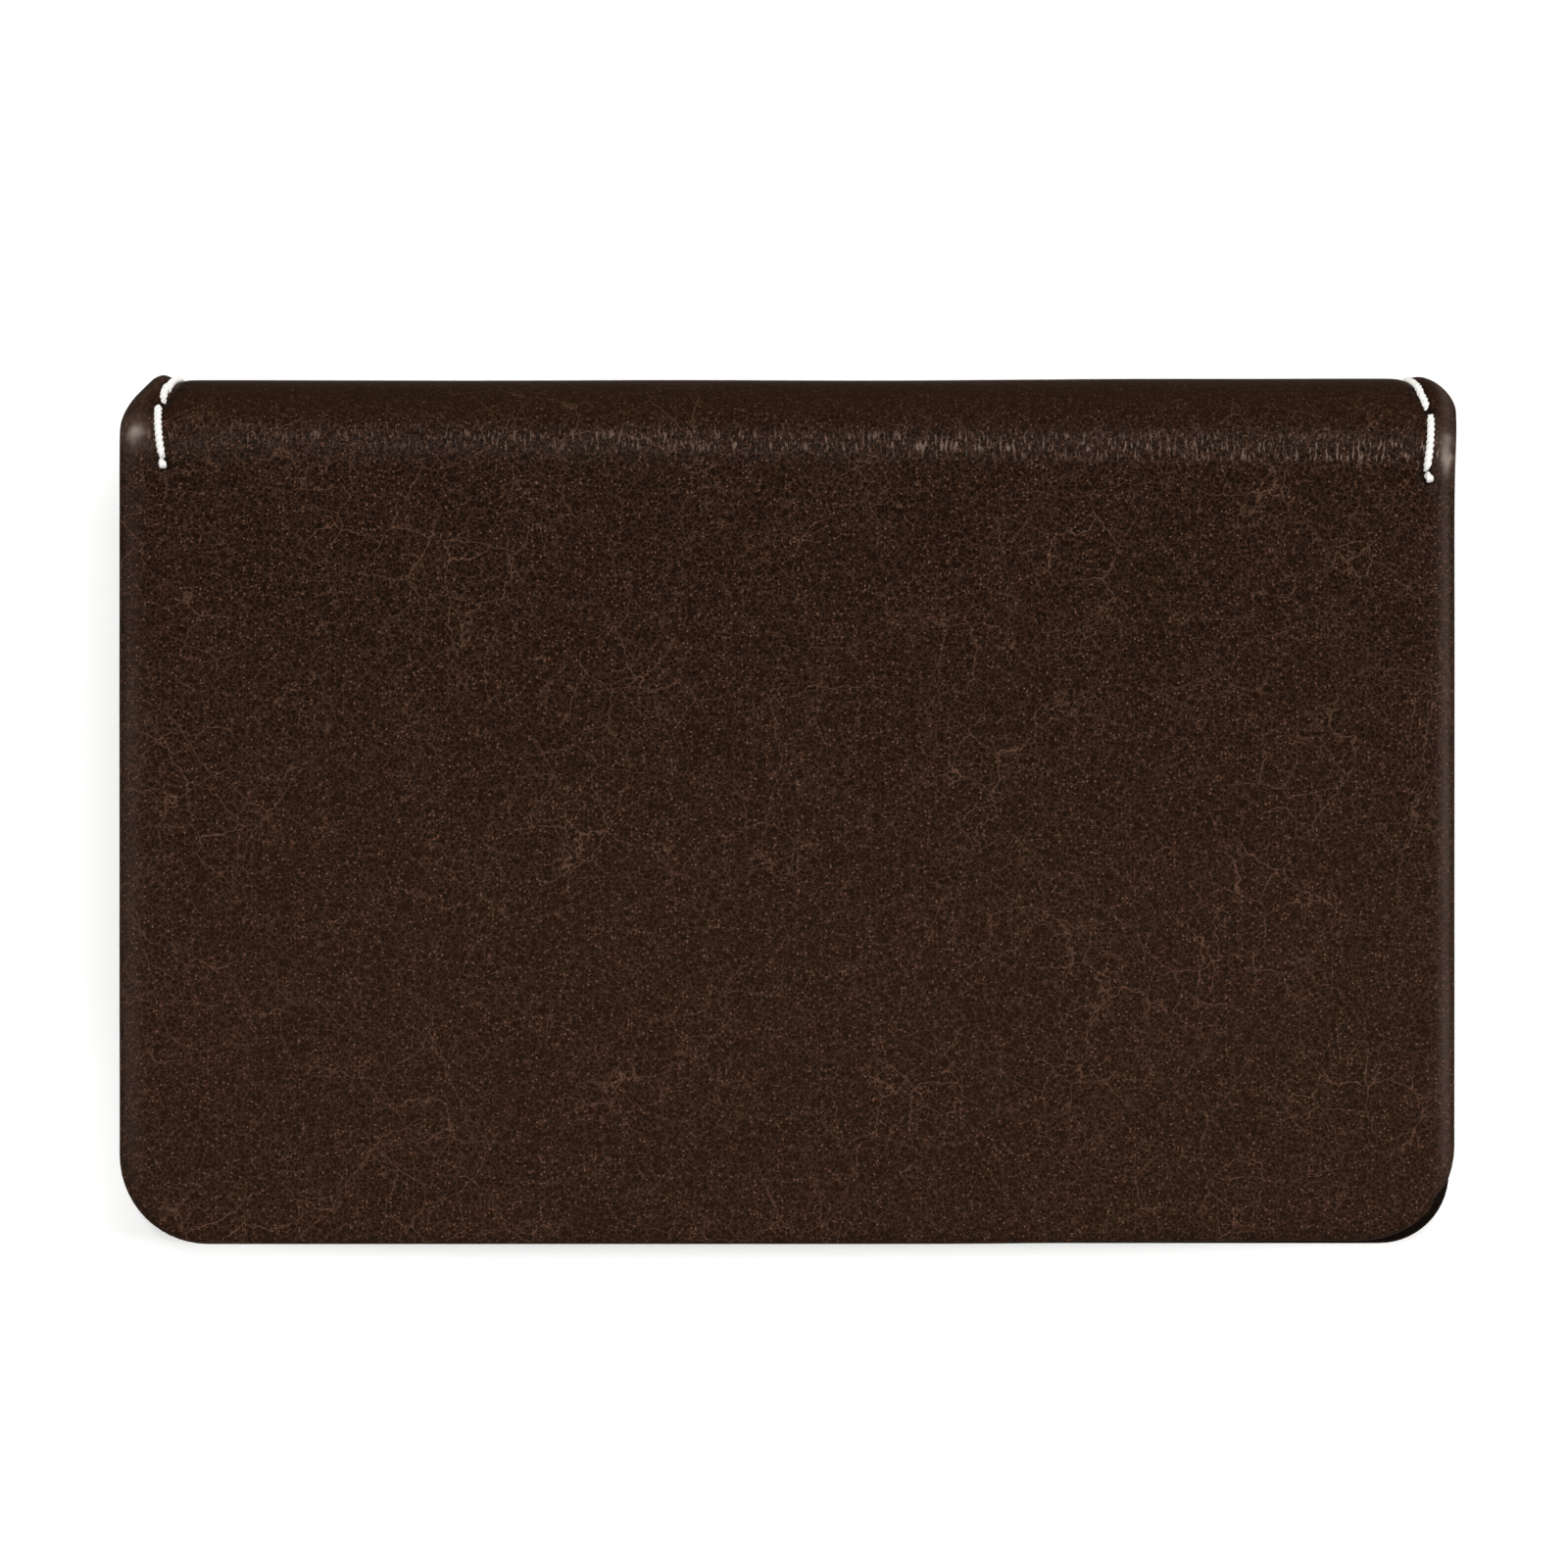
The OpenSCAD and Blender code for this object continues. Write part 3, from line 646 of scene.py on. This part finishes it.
def sewStitch(bm, start, end, sew, bow, stations):
    # one stitch of twisted thread that comes out of one hole and goes down the next
    line = end - start
    power = max(3.5, 2.2 * line.length / mm)  # a long stitch lies flat for most of its length
    sideways = line.normalized().cross(Vector((0, 0, 1)))
    ring = bmesh.ops.create_circle(bm, cap_ends=False, segments=sew["sides"], radius=sew["diameter"] / 2)
    verts = ring["verts"]
    for vert in verts:
        angle = math.atan2(vert.co.y, vert.co.x)
        vert.co *= 1 + sew["lobeHigh"] * (math.cos(sew["lobes"] * angle) - 0.5)
    edges = [edge for edge in bm.edges if edge.verts[0] in verts and edge.verts[1] in verts]

    def stationAt(i):
        share = i / stations
        fromMiddle = abs(2 * share - 1)
        dive = fromMiddle ** power
        aside = bow * 4 * share * (1 - share)
        centre = start + line * share + Vector((aside, 0, dive * sew["hole"] - sew["proud"]))
        steep = power * fromMiddle ** (power - 1) * math.copysign(2, share - 0.5) * sew["hole"]
        ahead = (line + Vector((bow * 4 * (1 - 2 * share), 0, steep))).normalized()
        upward = ahead.cross(sideways).normalized()
        turn = Matrix((upward.cross(ahead), upward, ahead)).transposed().to_4x4()
        twist = Matrix.Rotation(2 * math.pi * share * line.length / sew["twist"], 4, "Z")
        thinner = Matrix.Scale(1 - 0.22 * dive, 4)
        return Matrix.Translation(centre) @ turn @ twist @ thinner

    before = stationAt(0)
    bmesh.ops.transform(bm, matrix=before, verts=verts)
    bmesh.ops.holes_fill(bm, edges=edges, sides=0)
    for i in range(1, stations + 1):
        grown = bmesh.ops.extrude_edge_only(bm, edges=edges)
        edges = grownEdges(grown)
        now = stationAt(i)
        bmesh.ops.transform(bm, matrix=now @ before.inverted(), verts=grownVerts(grown))
        before = now
    bmesh.ops.holes_fill(bm, edges=edges, sides=0)


def makeSpineStitches():
    bm = bmesh.new()
    for side in spineEnds:
        for start, stop in stitchesAt(side):
            long = (stop - start).length
            sewStitch(bm, start, stop, thread, side * 0.03 * long, max(10, round(long / (0.17 * mm))))
    bmesh.ops.recalc_face_normals(bm, faces=bm.faces[:])
    shadeSmooth(bm)
    bendWithSpine(bm, "spineStitches", threadWhite, {
        "lowSpine": ["spine_stitches_1"], "midSpine": ["spine_stitches_2", "spine_stitches_3"],
        "flap": ["spine_stitches_4"]})


makeCover()
print("cover made")
makeLining()
print("lining made")
makeSpineStitches()
print("spine stitches made")

# the main pocket is one strip: y runs from its mouth, round the turn at the bottom, to its glued flange
frontLow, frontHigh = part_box("pocket_front")
foldLow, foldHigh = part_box("pocket_bottom_fold")
pocketThick = frontHigh.z - frontLow.z
foldRadius = (foldHigh.z - foldLow.z) / 2
foldAxis = Vector((0, foldLow.y + foldRadius, foldLow.z + foldRadius))
pocketRoll = {"y": foldAxis.y, "z": foldAxis.z, "radius": foldRadius, "side": -1}
pocketHalf = frontHigh.x
pocket = {
    "edgeRound": 0.3 * mm, "mouthCorner": 1.5 * mm, "flangeCorner": 0.5 * mm, "notchReach": 10 * mm,
    "notchPoint": 9.7 * mm, "notchRound": 8.8 * mm, "notchCorner": 3 * mm, "hemStep": 0.12 * mm,
    "hemFrom": 3.2 * mm, "hemWide": 0.35 * mm,
}
seam = {"inset": 1.9 * mm, "pitch": 4.6 * mm, "gap": 0.3 * mm, "along": (0.1 * mm, 0.5 * mm),
        "hole": (0.16 * mm, 0.4 * mm), "stations": 12}
seamThread = {"diameter": 0.46 * mm, "lobes": 3, "lobeHigh": 0.12, "twist": 1.2 * mm, "hole": 0.45 * mm,
              "proud": 0.02 * mm, "sides": 9}
divider = {"rim": 3.5 * mm, "gap": 0.3 * mm, "mouthRound": 0.25 * mm}
gusset = {"thick": 0.5 * mm, "rim": 3.5 * mm, "foldsTo": 4.4 * mm, "foldRound": 0.9 * mm, "tuck": 0.4 * mm}
flapPocket = {"edgeRound": 0.28 * mm, "cornerLess": 3 * mm, "mouthCorner": 0.6 * mm}


def pressSeam(verts, holes, thickness):
    # presses the leather in along a row of holes, deepest in the holes
    along, alongWide = seam["along"]
    hole, holeWide = seam["hole"]
    for vert in verts:
        outer = 1 - vert.co.z / thickness
        if outer <= 0:
            continue
        distance = alongStitch(vert.co, holes[0], holes[-1])[1]
        nearest = min((Vector((vert.co.x, vert.co.y, 0)) - place).length for place in holes)
        vert.co.z += outer * (along * bell(distance, alongWide) + hole * bell(nearest, holeWide))


def sewSeams(rows):
    # a stitch from each hole to the next, with a little leather showing between them
    bm = bmesh.new()
    for holes in rows:
        for start, end in zip(holes, holes[1:]):
            short = (end - start).normalized() * seam["gap"]
            sewStitch(bm, start + short, end - short, seamThread, 0.0, seam["stations"])
    bmesh.ops.recalc_face_normals(bm, faces=bm.faces[:])
    return bm


def makePocket():
    # one strip: its flange on the back cover, the turn round the cards, and the front with its thumb notch
    quarter = foldRadius * math.pi / 2
    mouth = -(quarter + frontHigh.y - foldAxis.y)
    flange = quarter + foldHigh.y - foldAxis.y
    notch, corner = pocket["notchReach"], pocket["notchCorner"]
    bm = bmesh.new()
    outlineFace(bm, [
        (-pocketHalf, mouth, pocket["mouthCorner"]), (-notch, mouth, corner),
        (0, mouth + pocket["notchPoint"], pocket["notchRound"]), (notch, mouth, corner),
        (pocketHalf, mouth, pocket["mouthCorner"]), (pocketHalf, flange, pocket["flangeCorner"]),
        (-pocketHalf, flange, pocket["flangeCorner"])])
    thicken(bm, pocketThick, pocket["edgeRound"], 3)
    cutAcross(bm, 1, steps(mouth + 8 * mm, -quarter - 1.5 * mm, 0.5 * mm)
              + steps(-quarter, quarter, 0.3 * mm) + steps(mouth + 0.6 * mm, mouth + 5 * mm, 0.3 * mm))
    sewn = steps(pocketHalf - 3.2 * mm, pocketHalf - 0.6 * mm, 0.22 * mm)
    cutAcross(bm, 0, steps(-pocketHalf + 6 * mm, pocketHalf - 6 * mm, 4 * mm) + bothSides(sewn))
    keepPlaces(bm)
    down = steps(mouth + 1.2 * mm, -quarter - 0.8 * mm, seam["pitch"])
    rows = []
    for side in (-1, 1):
        rows.append([Vector((side * (pocketHalf - seam["inset"]), place, 0)) for place in down])
        flat = [vert for vert in bm.verts if vert.co.y < -quarter]
        pressSeam([vert for vert in flat if side * vert.co.x > pocketHalf - 4.5 * mm], rows[-1], pocketThick)
    for vert in bm.verts:
        # the mouth's turned edge leaves a faint step
        outer = max(0.0, 1 - vert.co.z / pocketThick)
        hem = bell(vert.co.y - mouth - pocket["hemFrom"], pocket["hemWide"])
        vert.co.z += outer * pocket["hemStep"] * hem
        vert.co = rolled(vert.co, pocketRoll)
    shadeSmooth(bm)
    piece = makePiece(bm, "pocketLeather", pocketLeather)
    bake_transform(piece)
    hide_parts("pocket_bottom_fold", "pocket_front")

    bm = sewSeams(rows)
    for vert in bm.verts:
        vert.co = rolled(vert.co, pocketRoll)
    shadeSmooth(bm)
    piece = makePiece(bm, "pocketStitches", threadWhite)
    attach(piece, "pocket")
    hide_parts("pocket_stitches")


def makeDivider():
    # the pocket's back wall, open at the mouth side behind, and glued down along its two sides
    low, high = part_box("pocket_divider")
    rim, gap = divider["rim"], divider["gap"]
    outline = [(low.x, low.z), (low.x + rim, low.z), (low.x + rim, low.z + gap), (high.x - rim, low.z + gap),
               (high.x - rim, low.z), (high.x, low.z), (high.x, high.z), (low.x, high.z)]
    bm = bmesh.new()
    face = bm.faces.new([bm.verts.new((x, low.y, z)) for x, z in outline])
    grown = bmesh.ops.extrude_face_region(bm, geom=[face])
    bmesh.ops.translate(bm, verts=grownVerts(grown), vec=(0, high.y - low.y, 0))
    bmesh.ops.recalc_face_normals(bm, faces=bm.faces[:])
    top = [edge for edge in bm.edges if all(vert.co.z > high.z - 0.001 * mm for vert in edge.verts)]
    bmesh.ops.bevel(bm, geom=top, offset=divider["mouthRound"], affect="EDGES", segments=3, profile=0.5,
                    material=-1)
    keepPlaces(bm)
    for face in bm.faces:
        face.smooth = face.calc_area() < 100 * mm * mm
    piece = makePiece(bm, "pocketDivider", pocketLeather)
    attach(piece, "back")
    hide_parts("pocket_divider")


def makeGusset(side, name, node):
    # thin leather between the pocket's front and back wall, folded inwards, its end tucked into the turn
    low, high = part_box(node)
    thick, half = gusset["thick"], gusset["thick"] / 2
    middle = (low.z + high.z) / 2
    outer = side * pocketHalf
    margin = side * (pocketHalf - gusset["rim"] + half)
    apex = side * (pocketHalf - gusset["foldsTo"] - half)
    line = [(outer, low.z + half), (margin, low.z + half), (apex, middle),
            (margin, high.z - half), (outer, high.z - half)]
    bm = bmesh.new()
    verts = [bm.verts.new((x, high.y, z)) for x, z in line]
    for pair in zip(verts, verts[1:]):
        bm.edges.new(pair)
    bmesh.ops.bevel(bm, geom=verts[1:-1], offset=gusset["foldRound"], affect="VERTICES", segments=6,
                    profile=0.5, material=-1)
    edges = bm.edges[:]
    before = high.y
    turned = steps(foldAxis.y, low.y + gusset["tuck"], 0.3 * mm)
    for place in steps(high.y, foldAxis.y, 1.5 * mm)[1:] + turned[1:]:
        grown = bmesh.ops.extrude_edge_only(bm, edges=edges)
        edges = grownEdges(grown)
        bmesh.ops.translate(bm, verts=grownVerts(grown), vec=(0, place - before, 0))
        before = place
    inner = foldRadius - pocketThick
    for vert in bm.verts:
        past = min(max(foldAxis.y - vert.co.y, 0.0) / inner, 0.95)
        vert.co.z = middle + (vert.co.z - middle) * math.sqrt(1 - past * past)
    bmesh.ops.recalc_face_normals(bm, faces=bm.faces[:])
    bmesh.ops.solidify(bm, geom=bm.faces[:], thickness=thick)
    bmesh.ops.recalc_face_normals(bm, faces=bm.faces[:])
    keepPlaces(bm)
    shadeSmooth(bm)
    piece = makePiece(bm, name, pocketLeather)
    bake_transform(piece)
    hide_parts(node)


def makeFlapPocket():
    # the slip pocket inside the flap, sewn round three sides, its open side towards the spine
    low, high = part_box("flap_slip_pocket")
    thick, inset = high.z - low.z, seam["inset"]
    corner = cover["flapCorner"][0] - flapPocket["cornerLess"]
    mouthCorner = flapPocket["mouthCorner"]
    bm = bmesh.new()
    outlineFace(bm, [(low.x, low.y, corner), (high.x, low.y, corner), (high.x, high.y, mouthCorner),
                     (low.x, high.y, mouthCorner)])
    thicken(bm, thick, flapPocket["edgeRound"], 3)
    sewn = steps(inset - 1.2 * mm, inset + 1.3 * mm, 0.22 * mm)
    cutAcross(bm, 1, [low.y + place for place in sewn] + steps(low.y + 5 * mm, high.y - 1 * mm, 0.6 * mm))
    cutAcross(bm, 0, [low.x + place for place in sewn] + [high.x - place for place in sewn]
              + steps(low.x + 5 * mm, high.x - 5 * mm, 0.6 * mm))
    keepPlaces(bm)
    down = steps(low.y + corner + 1 * mm, high.y - 1.2 * mm, seam["pitch"])
    over = steps(low.x + corner + 1.5 * mm, high.x - corner - 1.5 * mm, seam["pitch"])
    rows = [[Vector((low.x + inset, place, 0)) for place in down],
            [Vector((high.x - inset, place, 0)) for place in down],
            [Vector((place, low.y + inset, 0)) for place in over]]
    for holes in rows:
        near = [vert for vert in bm.verts if alongStitch(vert.co, holes[0], holes[-1])[1] < 2 * mm]
        pressSeam(near, holes, thick)
    stitches = sewSeams(rows)
    for work, name, material, slotName, node in (
            (bm, "flapSlipPocket", pocketLeather, "pocket_leather", "flap_slip_pocket"),
            (stitches, "flapSlipStitches", threadWhite, "thread", "flap_slip_stitches")):
        bmesh.ops.translate(work, verts=work.verts[:], vec=(0, 0, low.z))
        shadeSmooth(work)
        piece = makePiece(work, name, material)
        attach(piece, "flap")
        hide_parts(node)


makePocket()
makeDivider()
makeGusset(-1, "gussetLeft", "gusset_left")
makeGusset(1, "gussetRight", "gusset_right")
makeFlapPocket()
print("pockets made")

for name in ("back_board", "flap_board"):
    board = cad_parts[name]
    board.data.materials.clear()
    board.data.materials.append(boardGrey)
print("boards dressed")

# a light is its size in m, power in W, tilt from straight above, turn from +Y towards +X, and distance in m
studio = {
    "floorSize": 4.0, "floorDrop": 0.05 * mm, "paper": "#f3f3f2", "paperMirrored": "#6a6157",
    "paperGlow": 0.4, "lens": 400.0, "sensor": 36.0, "frameWidth": 126.7 * mm,
    "aim": (-0.24 * mm, 2.14 * mm), "aimHeight": 10 * mm,
    "lights": {
        "keyBehindSpine": ((1.0, 0.2), 8.6, 33, 0, 1.2), "fillLeft": ((0.15, 1.0), 4.0, 45, -90, 1.1),
        "fillRight": ((0.15, 1.0), 7.2, 45, 90, 1.1), "fillFront": ((1.0, 0.25), 3.0, 50, 180, 1.2),
    },
    "roomLow": 0.35, "roomHigh": 0.05,
}


def makeFloor():
    # white paper sweep, matt
    bm = bmesh.new()
    bmesh.ops.create_grid(bm, x_segments=1, y_segments=1, size=studio["floorSize"] / 2)
    bmesh.ops.translate(bm, verts=bm.verts[:], vec=(0, 0, cadLow.z - studio["floorDrop"]))
    mesh = bpy.data.meshes.new("floor")
    bm.to_mesh(mesh)
    bm.free()
    material, tree, shader = newMaterial("paperWhiteMatt")
    # the leather mirrors a dimmer floor than is seen, because a white one turned the spine's top band grey
    mirrored = addNode(tree, "ShaderNodeLightPath", {}, {}, "Is Glossy Ray")
    tone = addNode(tree, "ShaderNodeMix", {"data_type": "RGBA"},
                   {0: mirrored, 6: linear(studio["paper"]), 7: linear(studio["paperMirrored"])}, 2)
    tree.links.new(tone, shader.inputs["Base Color"])
    tree.links.new(tone, shader.inputs["Emission Color"])
    shader.inputs["Roughness"].default_value = 0.9
    shader.inputs["Specular IOR Level"].default_value = 0.1
    shader.inputs["Emission Strength"].default_value = studio["paperGlow"]
    mesh.materials.append(material)
    floor = bpy.data.objects.new("floor", mesh)
    bpy.context.scene.collection.objects.link(floor)


def softLight(name, size, energy, tilt, turn, distance):
    light = bpy.data.lights.new(name, "AREA")
    light.shape = "RECTANGLE"
    light.size, light.size_y = size
    light.energy = energy
    lamp = bpy.data.objects.new(name, light)
    bpy.context.scene.collection.objects.link(lamp)
    tilt, turn = math.radians(tilt), math.radians(turn)
    away = Vector((math.sin(tilt) * math.sin(turn), math.sin(tilt) * math.cos(turn), math.cos(tilt)))
    lamp.location = away * distance
    lamp.rotation_euler = away.to_track_quat("Z", "Y").to_euler()


def studioWorld():
    # a pale room with a dark ceiling, so that level faces reflect little and edges catch the walls
    world = bpy.data.worlds.new("studioRoom")
    bpy.context.scene.world = world
    world.use_nodes = True
    tree = world.node_tree
    background = tree.nodes["Background"]
    direction = addNode(tree, "ShaderNodeTexCoord", {}, {}, "Generated")
    height = addNode(tree, "ShaderNodeSeparateXYZ", {}, {0: direction}, 2)
    shade = addNode(tree, "ShaderNodeMapRange", {"interpolation_type": "SMOOTHSTEP"},
                    {"Value": height, "From Min": 0.1, "From Max": 0.8,
                     "To Min": studio["roomLow"], "To Max": studio["roomHigh"]})
    tree.links.new(shade, background.inputs["Color"])
    background.inputs["Strength"].default_value = 1.0


def makeCamera():
    lens = bpy.data.cameras.new("camera")
    lens.lens, lens.sensor_width = studio["lens"], studio["sensor"]
    lens.clip_start, lens.clip_end = 0.05, 20.0
    camera = bpy.data.objects.new("camera", lens)
    bpy.context.scene.collection.objects.link(camera)
    distance = studio["frameWidth"] * studio["lens"] / studio["sensor"]
    camera.location = (*studio["aim"], studio["aimHeight"] + distance)
    bpy.context.scene.camera = camera


makeFloor()
for name, settings in studio["lights"].items():
    softLight(name, *settings)
studioWorld()
makeCamera()
bpy.context.scene.view_settings.view_transform = "Standard"
print("studio made")
